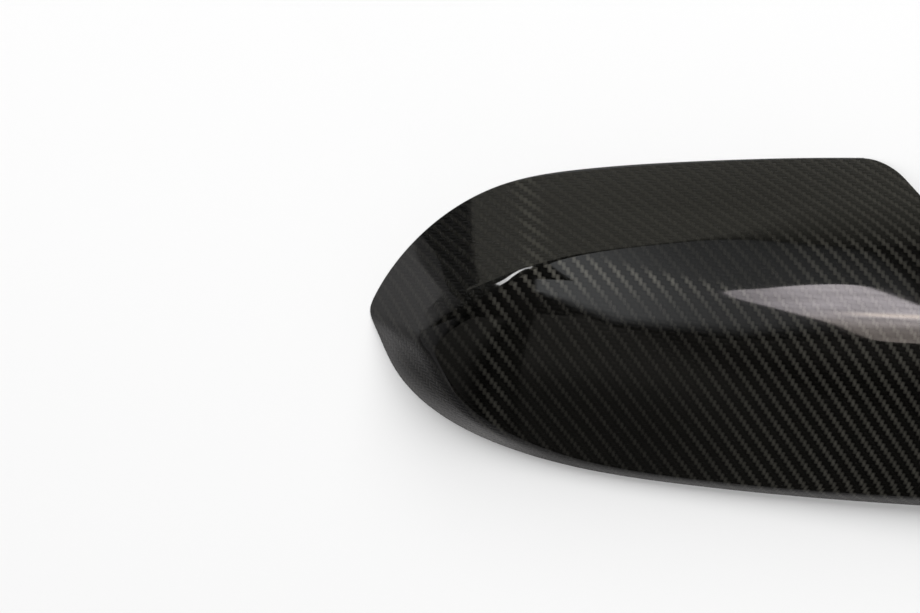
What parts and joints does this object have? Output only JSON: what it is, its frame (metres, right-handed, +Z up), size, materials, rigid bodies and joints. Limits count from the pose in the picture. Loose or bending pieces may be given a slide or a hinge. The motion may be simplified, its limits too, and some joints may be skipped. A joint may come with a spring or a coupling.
{
  "type": "wing mirror cover",
  "caption": "Crowned moulded shell that covers the back of a wing mirror, with a creased sloping band, a narrow lip, an open inner end and snap tongues inside.",
  "frame": {"origin": "centre of the plan box, in the plane of the flat rim that the cover rests on", "axes": "+X from the outer tip to the open inner end, +Y from the near lip to the far rim, +Z up through the crown"},
  "size_m": [0.236, 0.1328, 0.0359],
  "materials": {
    "carbon_shell": "clear-coated twill laminate, high gloss"
  },
  "bodies": {
    "root": {"mirror_cover": "carbon_shell"}
  },
  "joints": []
}
